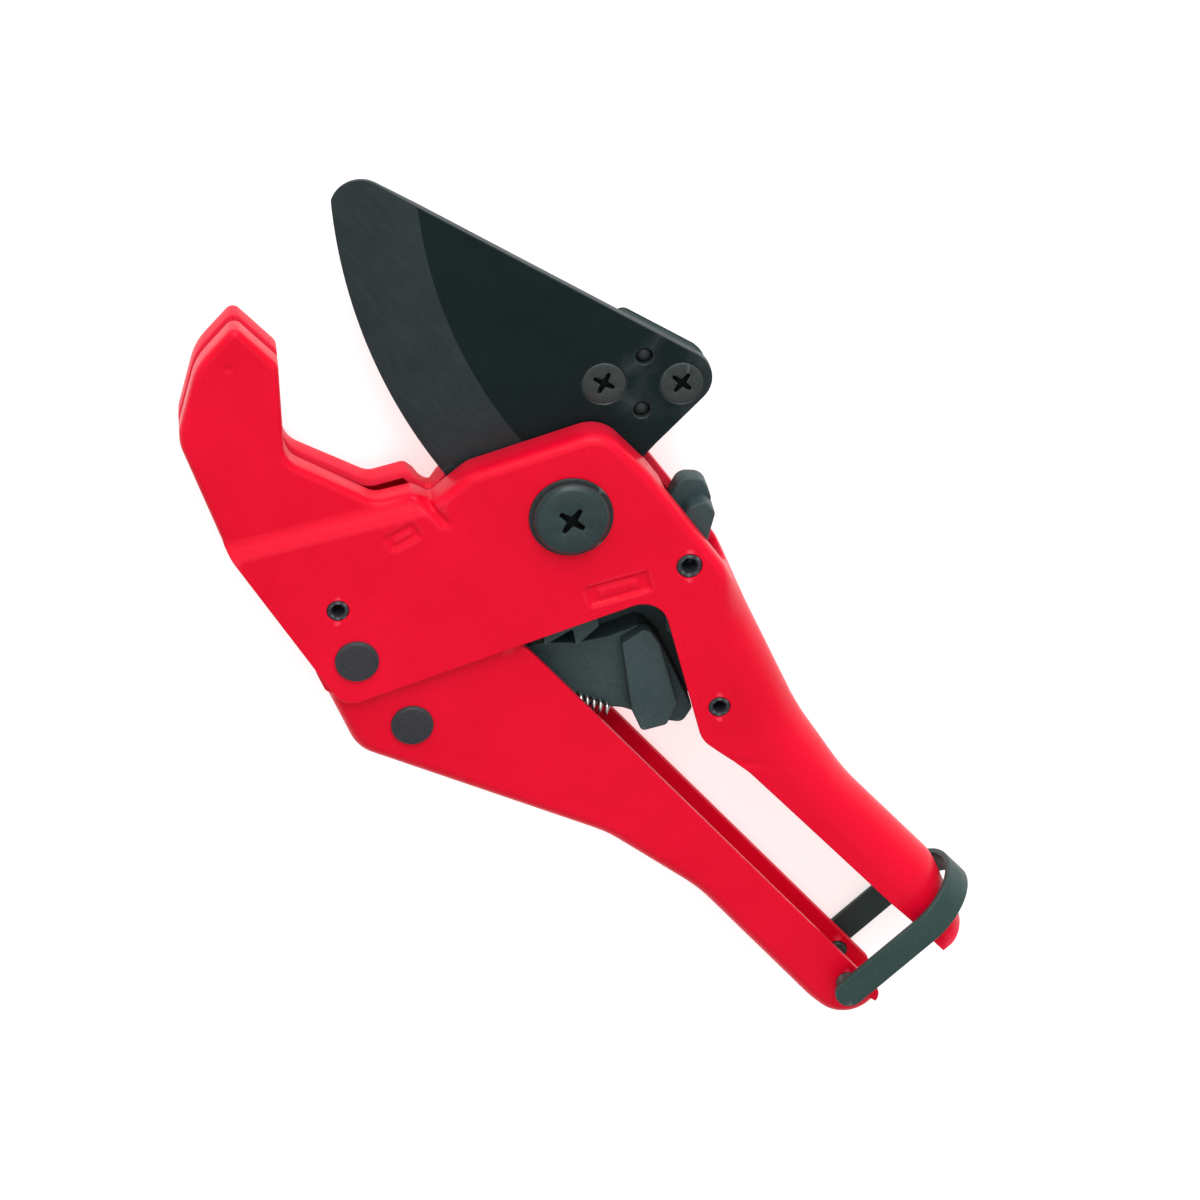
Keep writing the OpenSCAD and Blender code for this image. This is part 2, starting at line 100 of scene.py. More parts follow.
def rounded(corners, pitch=1.2):
    """Closed outline with every corner [x, y, radius] rounded, in steps of about pitch."""
    turned = []
    n = len(corners)
    for i, (x, y, r) in enumerate(corners):
        b = np.array([x, y], float)
        if r == 0:
            turned.append(b)
            continue
        u = unit(np.array(corners[i - 1][:2], float) - b)
        v = unit(np.array(corners[(i + 1) % n][:2], float) - b)
        half = math.acos(max(-1, min(1, float(u @ v)))) / 2
        mid = b + unit(u + v) * r / math.sin(half)
        start = b + u * r / math.tan(half) - mid
        first = math.atan2(start[1], start[0])
        turn = (math.pi - 2 * half) * (-1 if u[0] * v[1] - u[1] * v[0] > 0 else 1)
        steps = max(3, math.ceil(abs(turn) / math.radians(9)), math.ceil(abs(turn) * r / pitch))
        for a in np.linspace(first, first + turn, steps + 1):
            turned.append(mid + r * np.array([math.cos(a), math.sin(a)]))
    return subdivided(np.array(turned), 2 * pitch)


def subdivided(loop, longest):
    """The closed loop with its long stretches cut shorter."""
    dense = []
    for p, q in zip(loop, np.roll(loop, -1, 0)):
        length = np.linalg.norm(q - p)
        if length > 1e-4:
            parts = max(1, math.ceil(length / longest))
            dense += [p + (q - p) * k / parts for k in range(parts)]
    return np.array(dense)


def ring(at, r, n=48):
    t = np.linspace(0, 2 * math.pi, n, endpoint=False)
    return np.array(at, float) + r * np.stack([np.cos(t), np.sin(t)], 1)


def around(holes, gaps=(0.9, 1.5)):
    """Points in rings round each hole, to keep its shading from spreading."""
    return np.concatenate([ring(h[:2], h[2] + gap, 40) for h in holes for gap in gaps])


def hole(at, r, n=40):
    """A round hole's loop runs the other way, so that its left side is material too."""
    return ring(at, r, n)[::-1]


def inset(loop, d):
    """The loop moved to its left by d, which is one number or one for each point."""
    ahead = np.roll(loop, -1, 0) - loop
    ahead /= np.linalg.norm(ahead, axis=1)[:, None]
    back = np.roll(ahead, 1, 0)
    left = np.stack([-ahead[:, 1], ahead[:, 0]], 1) + np.stack([-back[:, 1], back[:, 0]], 1)
    left /= np.maximum(1 + (ahead * back).sum(1), 0.35)[:, None]
    return loop + left * np.broadcast_to(d, len(loop))[:, None]


def inside(points, loops):
    """True for each point that lies inside the first loop and outside the others."""
    x, y = points[:, 0], points[:, 1]
    odd = np.zeros(len(points), bool)
    for loop in loops:
        for (x0, y0), (x1, y1) in zip(loop, np.roll(loop, -1, 0)):
            if y0 == y1:
                continue
            cut = (y0 > y) != (y1 > y)
            odd ^= cut & (x < x0 + (x1 - x0) * (y - y0) / (y1 - y0))
    return odd


def clear_of(points, loops, gap):
    """The points that keep a gap from every loop."""
    keep = np.ones(len(points), bool)
    for loop in loops:
        for part in np.array_split(loop, max(1, len(loop) // 60)):
            keep &= (np.linalg.norm(points[:, None] - part[None], axis=2) > gap).all(1)
    return points[keep]


def lattice(x0, y0, x1, y1, step):
    """Points in staggered rows over a box."""
    rows = []
    for k, y in enumerate(np.arange(y0, y1, step * 0.87)):
        xs = np.arange(x0 + (k % 2) * step / 2, x1, step)
        rows.append(np.stack([xs, np.full(len(xs), y)], 1))
    return np.concatenate(rows)


def smooth(t):
    t = np.clip(t, 0, 1)
    return t * t * (3 - 2 * t)


def off_segment(p, a, b):
    """Distance of each point from the segment a-b, and its place along it from 0 to 1."""
    a, b = np.array(a, float), np.array(b, float)
    t = np.clip(((p - a) @ (b - a)) / ((b - a) @ (b - a)), 0, 1)
    return np.linalg.norm(p - (a + t[:, None] * (b - a)), axis=1), t


# ---------------------------------------------------------------- meshes


class Shape:
    """Vertices in drawing millimetres, and faces with the number of their material."""

    def __init__(self):
        self.points, self.faces, self.paints, self.count = [], [], [], 0

    def add(self, points, faces, paint=0):
        points = np.asarray(points, float).reshape(-1, 3)
        self.points.append(points)
        self.faces += [[i + self.count for i in f] for f in faces]
        self.paints += [paint] * len(faces)
        self.count += len(points)
        return self

    def moved(self, change):
        self.points = [change(p) for p in self.points]
        return self

    def flipped(self):
        """The mirror image below the middle plane."""
        other = Shape()
        other.points = [p * [1, 1, -1] for p in self.points]
        other.faces = [f[::-1] for f in self.faces]
        other.paints = list(self.paints)
        other.count = self.count
        return other

    def join(self, other):
        self.points += other.points
        self.faces += [[i + self.count for i in f] for f in other.faces]
        self.paints += other.paints
        self.count += other.count
        return self


def loft(shape, rows, paint=0):
    """Quads between closed rows of equal length, each running round the material's edge."""
    n = len(rows[0])
    faces = []
    for i in range(len(rows) - 1):
        for j in range(n):
            k = (j + 1) % n
            faces.append([i * n + j, (i + 1) * n + j, (i + 1) * n + k, i * n + k])
    shape.add(np.concatenate(rows), faces, paint)


def cap(shape, loops, height, extra=None, up=True, paint=0, lines=()):
    """Flat or domed face inside the loops, with its height over the drawing plane from a function."""
    points, edges = [], []
    for loop in loops:
        start = len(points)
        points += list(loop)
        edges += [(start + j, start + (j + 1) % len(loop)) for j in range(len(loop))]
    for line in lines:
        start = len(points)
        points += list(line)
        edges += [(start + j, start + j + 1) for j in range(len(line) - 1)]
    if extra is not None:
        points += list(extra)
    out, _, tris, _, _, _ = delaunay_2d_cdt([Vector(p) for p in points], edges, [], 0, 1e-5)
    flat = np.array([[v.x, v.y] for v in out])
    tris = np.array(tris)
    corners = flat[tris]
    kept = inside(corners.mean(1), loops)
    e, f = corners[:, 1] - corners[:, 0], corners[:, 2] - corners[:, 0]
    area = e[:, 0] * f[:, 1] - e[:, 1] * f[:, 0]
    kept &= np.abs(area) > 1e-7
    tris, area = tris[kept], area[kept]
    tris = np.where(((area > 0) == up)[:, None], tris, tris[:, ::-1])
    paints = paint(flat[tris].mean(1)) if callable(paint) else [paint] * len(tris)
    before = len(shape.faces)
    shape.add(np.column_stack([flat, height(flat)]), [list(map(int, t)) for t in tris])
    shape.paints[before:] = [int(p) for p in paints]


def level(z):
    return lambda p: np.full(len(p), float(z))


def at_height(loop, z):
    return np.column_stack([loop, np.broadcast_to(z, len(loop))])


def quarter(steps):
    return np.linspace(0, math.pi / 2, steps + 1)


def slab(shape, loops, z0, z1, edge=0.35, steps=4, extra=None):
    """Plate from z0 to z1 with rounded edges; the first loop is its outline, the others are holes."""
    tops, bottoms = [], []
    for loop in loops:
        profile = [(edge + 0.15, z1)]
        profile += [(edge * (1 - math.sin(t)), z1 - edge * (1 - math.cos(t))) for t in quarter(steps)]
        profile += [(edge * (1 - math.cos(t)), z0 + edge * (1 - math.sin(t))) for t in quarter(steps)]
        profile += [(edge + 0.15, z0)]
        rows = [at_height(inset(loop, d), z) for d, z in profile]
        loft(shape, rows)
        tops.append(rows[0][:, :2])
        bottoms.append(rows[-1][:, :2])
    cap(shape, tops, level(z1), extra, True)
    cap(shape, bottoms, level(z0), extra, False)


def lathe(shape, at, profile, n=56):
    """Turned piece: the profile [radius, height] runs from its top centre down its outside."""
    loft(shape, [at_height(ring(at, max(r, 0.004), n), z) for r, z in profile])


def disc(shape, at, r, z0, z1, edge, n):
    """Solid disc with both rims rounded."""
    profile = [(0, z1), (r * 0.5, z1), (r - edge - 0.1, z1)]
    profile += [(r - edge * (1 - math.sin(t)), z1 - edge * (1 - math.cos(t))) for t in quarter(4)]
    profile += [(r - edge * (1 - math.cos(t)), z0 + edge * (1 - math.sin(t))) for t in quarter(4)]
    profile += [(r - edge - 0.1, z0), (0, z0)]
    lathe(shape, at, profile, n)


def pipe(shape, at, r, bore, z0, z1, edge, n):
    """Tube with rounded rims."""
    e = min(edge, (r - bore) / 2.2)
    out = [(r - e * (1 - math.sin(t)), z1 - e * (1 - math.cos(t))) for t in quarter(3)]
    low = [(r - e * (1 - math.cos(t)), z0 + e * (1 - math.sin(t))) for t in quarter(3)]
    back = [(bore + e * (1 - math.sin(t)), z0 + e * (1 - math.cos(t))) for t in quarter(3)]
    rim = [(bore + e * (1 - math.cos(t)), z1 - e * (1 - math.sin(t))) for t in quarter(3)]
    profile = out + low + back + rim
    lathe(shape, at, profile + profile[:1], n)


def cross_loop(at, arm, width, turned):
    """Outline of a cross recess, as a hole's loop."""
    w = width / 2
    corners = []
    for k in range(4):
        c, s = math.cos(k * math.pi / 2), math.sin(k * math.pi / 2)
        for x, y, r in [(arm, -w * 0.72, w * 0.5), (arm, w * 0.72, w * 0.5), (w * 1.25, w * 1.25, w * 0.45)]:
            corners.append([x * c - y * s, x * s + y * c, r])
    loop = rounded(corners, 0.25)[::-1]
    c, s = math.cos(turned), math.sin(turned)
    return loop @ np.array([[c, s], [-s, c]]) + np.array(at, float)


def screw_head(shape, at, profile, face_r, z, arm, width, deep, turned):
    """Turned head whose flat face of radius face_r at height z has a cross recess in the second material."""
    lathe(shape, at, [(face_r, z)] + profile, 64)
    cross = cross_loop(at, arm, width, turned)
    walls = [(0.18, 0), (0.05, -0.04), (0, -0.15), (-0.06, -0.4), (-0.24 * width, -deep)]
    rows = [at_height(inset(cross, d), z + dz) for d, dz in walls]
    loft(shape, rows[:3])
    loft(shape, rows[2:], 1)
    cap(shape, [ring(at, face_r, 64), rows[0][:, :2]], level(z))
    cap(shape, [rows[-1][::-1, :2]], level(z - deep), paint=1)


def wire(path, r, sides=12):
    """Round wire along a path, with rounded ends."""
    path = np.asarray(path, float)
    ahead = np.gradient(path, axis=0)
    ahead /= np.linalg.norm(ahead, axis=1)[:, None]
    side = unit(np.cross(ahead[0], [0.31, 0.2, 0.93]))
    turn = np.linspace(0, 2 * math.pi, sides, endpoint=False)
    rows = []
    for i, (p, t) in enumerate(zip(path, ahead)):
        side = unit(side - (side @ t) * t)
        up = np.cross(t, side)
        spread = [(0.25, -0.95), (0.7, -0.7), (1, 0)] if i == 0 else [(1, 0)]
        spread = [(1, 0), (0.7, 0.7), (0.25, 0.95)] if i == len(path) - 1 else spread
        for grow, over in spread:
            round_it = np.cos(turn)[:, None] * side + np.sin(turn)[:, None] * up
            rows.append(p + over * r * t + grow * r * round_it)
    faces = []
    for i in range(len(rows) - 1):
        for j in range(sides):
            k = (j + 1) % sides
            faces.append([i * sides + j, i * sides + k, (i + 1) * sides + k, (i + 1) * sides + j])
    last = (len(rows) - 1) * sides
    faces.append(list(range(sides))[::-1])
    faces.append([last + j for j in range(sides)])
    return Shape().add(np.concatenate(rows), faces)


def winding(r, z, pitch, turns, start=0, seg=28):
    """Points of a round winding about Z that starts at an angle and rises by pitch each turn."""
    i = np.arange(round(turns * seg) + 1)
    a = math.radians(start) + 2 * math.pi * i / seg
    return np.stack([r * np.cos(a), r * np.sin(a), z + pitch * i / seg], 1)


def make(shape, name, body, materials, nodes, cut=None, sharp=38):
    """Blender object from a shape, which rides on a body and stands for CAD nodes.

    cut is the x at which the shape ends, and sharp the angle from which an edge is a sharp one.
    """
    mesh = bpy.data.meshes.new(name)
    points = (np.concatenate(shape.points) + PIVOT) / 1000
    mesh.from_pydata([tuple(p) for p in points], [], shape.faces)
    for paint in materials:
        mesh.materials.append(paint)
    mesh.polygons.foreach_set("material_index", shape.paints)
    bm = bmesh.new()
    bm.from_mesh(mesh)
    bmesh.ops.remove_doubles(bm, verts=bm.verts, dist=4e-6)
    # Two mirrored halves that meet on the middle plane leave their shared faces there
    middle = PIVOT[2] / 1000
    flat = [f for f in bm.faces if all(abs(v.co.z - middle) < 2e-6 for v in f.verts)]
    bmesh.ops.delete(bm, geom=flat, context="FACES")
    if cut is not None:
        at = Vector(((cut + PIVOT[0]) / 1000, 0, 0))
        done = bmesh.ops.bisect_plane(
            bm, geom=bm.verts[:] + bm.edges[:] + bm.faces[:], dist=1e-7, plane_co=at,
            plane_no=(1, 0, 0), clear_outer=True)
        edges = [e for e in done["geom_cut"] if isinstance(e, bmesh.types.BMEdge)]
        bmesh.ops.triangle_fill(bm, edges=edges, use_beauty=True, normal=(1, 0, 0))
    bmesh.ops.dissolve_degenerate(bm, dist=1e-7, edges=bm.edges)
    loose = [v for v in bm.verts if not v.link_faces]
    bmesh.ops.delete(bm, geom=loose, context="VERTS")
    bmesh.ops.recalc_face_normals(bm, faces=bm.faces)
    bm.to_mesh(mesh)
    bm.free()
    mesh.shade_smooth()
    mesh.set_sharp_from_angle(angle=math.radians(sharp))
    obj = bpy.data.objects.new(name, mesh)
    bpy.context.scene.collection.objects.link(obj)
    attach(obj, body)
    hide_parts(*nodes)


# ---------------------------------------------------------------- materials


class Paint:
    """A material under way: its nodes, and short ways to add and join them."""

    def __init__(self, name, rough, metal=0.0, specular=0.5, coat=0.0, coat_rough=0.15):
        self.material = bpy.data.materials.new(name)
        self.material.use_nodes = True
        self.nodes = self.material.node_tree.nodes
        self.links = self.material.node_tree.links
        self.shader = self.nodes["Principled BSDF"]
        self.shader.inputs["Roughness"].default_value = rough
        self.shader.inputs["Metallic"].default_value = metal
        self.shader.inputs["Specular IOR Level"].default_value = specular
        self.shader.inputs["Coat Weight"].default_value = coat
        self.shader.inputs["Coat Roughness"].default_value = coat_rough
        self.place = self.nodes.new("ShaderNodeTexCoord").outputs["Object"]

    def join(self, out, into):
        self.links.new(out, into)

    def noise(self, scale, detail=3.0, stretch=None, rough=0.5):
        node = self.nodes.new("ShaderNodeTexNoise")
        node.inputs["Scale"].default_value = scale
        node.inputs["Detail"].default_value = detail
        node.inputs["Roughness"].default_value = rough
        place = self.place
        if stretch is not None:
            turn = self.nodes.new("ShaderNodeMapping")
            turn.inputs["Scale"].default_value = stretch[0]
            turn.inputs["Rotation"].default_value = stretch[1]
            self.join(place, turn.inputs["Vector"])
            place = turn.outputs["Vector"]
        self.join(place, node.inputs["Vector"])
        return node.outputs["Fac"]

    def ramp(self, value, *stops):
        node = self.nodes.new("ShaderNodeValToRGB")
        ramp = node.color_ramp
        while len(ramp.elements) < len(stops):
            ramp.elements.new(0.5)
        for element, (at, color) in zip(ramp.elements, stops):
            element.position = at
            color = (color,) * 3 if isinstance(color, (int, float)) else color
            element.color = (*color, 1)
        self.join(value, node.inputs["Fac"])
        return node.outputs["Color"]

    def mix(self, share, a, b):
        node = self.nodes.new("ShaderNodeMix")
        node.data_type = "RGBA"
        for value, name in ((share, "Factor"), (a, "A"), (b, "B")):
            named = [s for s in node.inputs if s.name == name]
            socket = [s for s in named if name == "Factor" or s.type == "RGBA"][0]
            if isinstance(value, bpy.types.NodeSocket):
                self.join(value, socket)
            else:
                socket.default_value = value if name == "Factor" else (*value, 1)
        return [s for s in node.outputs if s.type == "RGBA"][0]

    def wear_and_highlight_edge(self, low, high):
        """How much of an outer edge a place is, from the shape's own curvature: it carries rubbed wear on the
        black coats and a painted highlight on the red enamel.
        """
        node = self.nodes.new("ShaderNodeNewGeometry")
        return self.ramp(node.outputs["Pointiness"], (low, 0.0), (high, 1.0))

    def bump(self, height, strength, distance, below=None):
        node = self.nodes.new("ShaderNodeBump")
        node.inputs["Strength"].default_value = strength
        node.inputs["Distance"].default_value = distance
        self.join(height, node.inputs["Height"])
        if below is not None:
            self.join(below, node.inputs["Normal"])
        return node.outputs["Normal"]

    def finish(self, color, rough=None, normal=None):
        self.join(color, self.shader.inputs["Base Color"])
        if rough is not None:
            self.join(rough, self.shader.inputs["Roughness"])
        if normal is not None:
            self.join(normal, self.shader.inputs["Normal"])
        return self.material


def red_enamel():
    """Thick semi-gloss enamel: slight waves and orange peel, with a painted highlight of paler pink on its
    edges.
    """
    p = Paint("red_enamel", 0.34, specular=0.1, coat=0.03, coat_rough=0.22)
    drift = p.ramp(p.noise(38, 3), (0.3, (0.68, 0.001, 0.019)), (0.7, (0.80, 0.0025, 0.027)))
    fine = p.ramp(p.noise(1500, 2), (0.35, (0.66, 0.001, 0.018)), (0.65, (0.80, 0.003, 0.028)))
    color = p.mix(0.3, drift, fine)
    # Paler pink on the edges is a painted highlight along the rims
    color = p.mix(p.wear_and_highlight_edge(0.51, 0.6), color, (0.86, 0.045, 0.09))
    rough = p.ramp(p.noise(120, 4), (0.3, 0.3), (0.7, 0.42))
    normal = p.bump(p.noise(210, 2), 0.1, 0.0003)
    normal = p.bump(p.noise(1900, 2), 0.12, 0.00004, normal)
    return p.finish(color, rough, normal)


RUBBED_EDGE = (0.1, 0.12, 0.12)


def black_coat(name, dark, light, rough, specular, grain=(1, 1, 1), turned=0.0):
    """Black oxide or phosphate on steel: cloudy tone, fine grain and brighter rubbed edges."""
    p = Paint(name, rough, specular=specular)
    way = (grain, (0, 0, turned))
    cloudy = p.ramp(p.noise(70, 5, rough=0.6), (0.3, dark), (0.72, light))
    speck = p.ramp(p.noise(1300, 3, way), (0.36, dark), (0.66, light))
    color = p.mix(0.4, cloudy, speck)
    color = p.mix(p.wear_and_highlight_edge(0.53, 0.66), color, RUBBED_EDGE)
    gloss = p.ramp(p.noise(240, 4, way), (0.3, rough - 0.07), (0.7, min(1, rough + 0.09)))
    normal = p.bump(p.noise(1100, 3, way), 0.16, 0.00005)
    return p.finish(color, gloss, normal)


def bright_wire():
    """Drawn spring wire with faint lines."""
    p = Paint("spring_wire", 0.3, metal=1.0)
    color = p.ramp(p.noise(400, 3), (0.3, (0.42, 0.43, 0.43)), (0.7, (0.66, 0.66, 0.64)))
    rough = p.ramp(p.noise(900, 2), (0.3, 0.22), (0.7, 0.4))
    return p.finish(color, rough, p.bump(p.noise(2500, 2), 0.1, 0.00003))


RED = red_enamel()
BLADE_FLAT = black_coat("blade_flat", (0.0006, 0.006, 0.0068), (0.0025, 0.0115, 0.0122), 0.5, 0.15)
BLADE_BEVEL = black_coat("blade_bevel", (0.011, 0.018, 0.02), (0.021, 0.031, 0.034), 0.46, 0.24,
                         grain=(0.16, 1, 1), turned=0.9)
BLACK = black_coat("black_oxide", (0.023, 0.042, 0.044), (0.044, 0.07, 0.073), 0.5, 0.3)
BAIL_BLACK = black_coat("bail_oxide", (0.016, 0.043, 0.038), (0.032, 0.068, 0.062), 0.48, 0.3)
SCREW_BLACK = black_coat("screw_oxide", (0.009, 0.022, 0.023), (0.02, 0.042, 0.043), 0.38, 0.4)
SMALL_SCREW = black_coat("small_screw_oxide", (0.015, 0.023, 0.022), (0.032, 0.042, 0.04), 0.42, 0.35)
RIVET_BLACK = black_coat("rivet_steel", (0.018, 0.019, 0.022), (0.037, 0.038, 0.046), 0.46, 0.3)
DARK = black_coat("dark_steel", (0.009, 0.012, 0.013), (0.022, 0.027, 0.029), 0.45, 0.3)
DEEP = black_coat("recess_shade", (0.002, 0.003, 0.003), (0.005, 0.007, 0.007), 0.7, 0.1)
BRIGHT = bright_wire()


# ---------------------------------------------------------------- frame and lower handle


# Width that a bare edge's two rims take up
BARE_EDGE = 0.35
HOLE_EDGE = 0.3


def wall(loops, sheet, high, fold, extra, low_side):
    """One wall of a folded sheet piece, from its outer face round its rims to its inner face.

    fold gives, for each point of the outline, how far the fold's rounding reaches in the plane and
    in height, how low its flange comes, and whether the edge is a bare one. Holes have bare edges.
    """
    shape = Shape()
    outer, inner = [], []
    for k, loop in enumerate(loops):
        loop = inset(loop, TRIM)
        if k == 0:
            across, down, low, bare = fold(loop, low_side)
        else:
            across = down = np.full(len(loop), HOLE_EDGE)
            low, bare = np.zeros(len(loop)), np.ones(len(loop), bool)
        base = high(loop)
        low = np.where(bare, base - sheet, np.minimum(low, base - down - 0.3 * (low > 0)))
        soft = np.where(bare | (low > 0), 0.3, 0)
        blunt = np.where(bare, 0, soft)
        thick = np.where(bare, BARE_EDGE, sheet)
        in_across = np.where(bare, 0, np.maximum(across - sheet, 0.05))
        in_down = np.where(bare, 0, np.maximum(down - sheet, 0.05))
        rows = []

        def row(d, z):
            rows.append(at_height(inset(loop, d), z))

        row(across + 0.15, high(inset(loop, across + 0.15)))
        for t in quarter(12):
            d = across * (1 - math.sin(t))
            row(d, high(inset(loop, d)) - down * (1 - math.cos(t)))
        row(0, low + soft)
        row(0.3 * soft, low + 0.3 * soft)
        row(soft, low)
        row(thick - blunt, low)
        row(thick, low + blunt)
        for t in quarter(8)[::-1]:
            d = thick + in_across * (1 - math.sin(t))
            row(d, np.maximum(high(inset(loop, d)) - sheet - in_down * (1 - math.cos(t)), low))
        d = thick + in_across + 0.1
        row(d, high(inset(loop, d)) - sheet)
        loft(shape, rows)
        outer.append(rows[0][:, :2])
        inner.append(rows[-1][:, :2])
    fine = extra[inside(extra, outer)]
    cap(shape, outer, high, clear_of(fine, outer, 0.4), True)
    coarse = extra[::3]
    coarse = coarse[inside(coarse, inner)]
    cap(shape, inner, lambda p: high(p) - sheet, clear_of(coarse, inner, 0.8), False)
    return shape


# Each is a line from one point to another
GROOVE = ((-25.4, -19.9), (-16.2, -20.5))
DIMPLE = ((-76.6, -28.2), (-76.6, -28.1))
DENT = ((70.5, -16.5), (80, -9.5))
# The pressed marks' places and angles
SMALL_MARK = ((-22.5, -29.2), 76)
LONG_MARK = ((20.5, -4.7), 61.5)
FRAME_LINE = [
    [-82.4, -20.6, 2], [-81.4, -33, 14], [-72.5, -47.6, 10], [-47, -58.6, 25], [-1.6, -67.2, 5],
    [28.6, 0.6, 6], [62, -17.3, 7], [76, -15.3, 10], [150, -15.5, 0], [150, -10.4, 0],
    [128, -2.7, 12], [97, -2.45, 60], [76, 1.3, 60], [34, 15.2, 22], [5, 18.7, 16], [-9.6, 18.7, 8],
    [-22.8, -9, 8], [-23.4, -19.7, 1.2], [-27.6, -21.1, 2], [-31.8, -28.2, 4], [-52.5, -35, 6],
    [-69.3, -20.4, 2.5],
]
# The back cheek's hump beside the notch, points 17 to 19, is a little higher than the front one's
BACK_LINE = FRAME_LINE[:17] + [[-22.1, -20.7, 1.2], [-29.2, -20.6, 2], [-33.3, -28.1, 4]] + FRAME_LINE[20:]


def crease(p):
    """How far each point lies on the body's side of the crease where the frame gets wider."""
    slant = (p - [-25.9, -23.6]) @ np.array([0.867, -0.499])
    return np.maximum(slant, np.minimum(p[:, 0] + 26.3, p[:, 1] + 21))


def pressed(p, at, angle, length, width, soft):
    """From 0 outside a pressed rectangle to 1 inside it, with soft borders."""
    c, s = math.cos(math.radians(angle)), math.sin(math.radians(angle))
    q = p - np.array(at, float)
    u = np.abs(q[:, 0] * c + q[:, 1] * s) - length / 2
    v = np.abs(q[:, 1] * c - q[:, 0] * s) - width / 2
    return smooth(0.5 - u / soft) * smooth(0.5 - v / soft)


def frame_height(p):
    """Height of the frame's outer face over the middle plane."""
    x = p[:, 0]
    z = JAW_Z + (FRAME_Z - JAW_Z) * smooth((crease(p) + 2.2) / 4.4)
    z -= 0.1 * smooth((x - 76) / 12) + 0.85 * smooth((x - 125) / 8)
    away, along = off_segment(p, *GROOVE)
    z -= (1.7 - 1.2 * along) * np.exp(-(away / 1.05) ** 2) * (1 - smooth((along - 0.75) / 0.25))
    z -= 0.6 * pressed(p, *SMALL_MARK, 7.2, 3.8, 1.2)
    z += 0.35 * pressed(p, *SMALL_MARK, 4.4, 1.4, 1.0)
    z -= 0.7 * pressed(p, *LONG_MARK, 14, 4.6, 0.9)
    z += 0.35 * pressed(p, *LONG_MARK, 9, 2.2, 1.1)
    away, _ = off_segment(p, *DIMPLE)
    z -= 0.35 * np.exp(-(away / 0.8) ** 2)
    away, along = off_segment(p, *DENT)
    z -= 0.28 * np.exp(-(away / 1.1) ** 2) * (1 - smooth((along - 0.3) / 0.7))
    return z


def frame_fold(loop, low_side):
    """The jaw's and body's rims are folded in to a slot, and the upper handle's back is closed."""
    x, y = loop.T
    base = frame_height(loop)
    bare = (x > -48.5) & (y < -56) | (x > -6) & (y < 3) & (x < 60) | (x >= 60) & (y < -12)
    back = smooth((x - 33) / 16)
    reach = 10 - 6.0 * smooth((x - 124) / 26)
    across = np.where(x < -26, 1.5, 2.2) * (1 - back) + reach * back
    down = np.where(x < -26, 1.7, 2.4) * (1 - back) + base * back
    low = np.full(len(loop), 1.6)
    # Room for the blade's seat at the back and for the release lever at the front
    if low_side:
        low = np.where((x > -24.5) & (y > -14), 6.4, low)
    else:
        low = np.where((x > 10.5) & (y > 0), 5.4, low)
    low = low * (1 - smooth((x - 33) / 4))
    low = np.where(x > 37, 0, low)
    across = np.where(bare, BARE_EDGE, across)
    down = np.where(bare, BARE_EDGE, down)
    return across, down, low, bare


FRAME_HOLES = [(0, 0, 5.1), (*RIVET_AT, 3.05), (*JAW_PIN_AT, 2.45), (*STOP_AT, 2.45), (*HOLD_AT, 2.85)]


def frame_shell():
    """Both walls, with a finer mesh along the crease and at the pressed details."""
    holes = [hole(h[:2], h[2]) for h in FRAME_HOLES]
    wide = lattice(-84, -70, 150, 22, 2.2)
    fine = lattice(-50, -64, -12, -12, 0.75)
    fine = fine[np.abs(crease(fine)) < 3.4]
    spots = np.concatenate([
        lattice(-29, -26, -13, -14, 0.5), lattice(-28, -37, -17, -22, 0.55), lattice(12, -14, 29, 5, 0.5),
        lattice(-79, -31, -74, -26, 0.5), lattice(68, -18, 83, -8, 0.6),
    ])
    small_mark, long_mark = ((-23.4, -32.5), (-21.6, -25.8)), ((17, -11.4), (24, 1.8))
    kept = ((GROOVE, 3.5), (small_mark, 3.6), (long_mark, 4.2), (DIMPLE, 2), (DENT, 2.6))
    away = np.min([off_segment(spots, *line)[0] - reach for line, reach in kept], 0)
    spots = spots[away < 0]
    fine = clear_of(fine, [spots], 0.6)
    wide = clear_of(wide, [spots, fine], 1.0)
    extra = np.concatenate([wide, fine, spots])
    rims = around(FRAME_HOLES)
    extra = np.concatenate([clear_of(extra, [rims], 0.5), rims])
    shape = wall([rounded(FRAME_LINE, 1.0)] + holes, FRAME_SHEET, frame_height, frame_fold, extra, False)
    back = wall([rounded(BACK_LINE, 1.0)] + holes, FRAME_SHEET, frame_height, frame_fold, extra, True)
    shape.join(back.flipped())
    make(shape, "frame_shell", "frame", [RED], ["frame"], cut=144.6)


LOWER_LINE = [
    [-16, -50, 7], [-16, -64.5, 8], [9.5, -73.6, 9], [66, -49.6, 30], [92, -44.9, 40], [133, -46.4, 20],
    [144.4, -45.4, 8.5], [144.4, -33.4, 3], [16, -29.4, 6], [2, -43, 8],
]


def lower_fold(loop, low_side):
    """Closed along the bottom and open, with bare edges, elsewhere; both sides are alike."""
    x, y = loop.T
    bare = (y > -36) | (x < 14) & (y > -56) | (x < -6)
    size = np.where(bare, BARE_EDGE, 3.2)
    return size, size, np.zeros(len(loop)), bare


def lower_shell():
    holes = [(*RIVET_AT, 3.1), (*DRIVE_AT, 3.05), (*BAIL_AT, 2.3), (*POST_AT, 1.25)]
    loops = [rounded(LOWER_LINE, 1.0)] + [hole(h[:2], h[2]) for h in holes]
    rims = around(holes)
    extra = np.concatenate([clear_of(lattice(-18, -75, 146, -28, 3.5), [rims], 0.8), rims])
    half = wall(loops, GRIP_SHEET, level(GRIP_Z), lower_fold, extra, False)
    both = half.join(half.flipped())
    make(both, "lower_handle_shell", "lower_handle", [RED], ["lower_handle"])


# ---------------------------------------------------------------- blade and its carrier


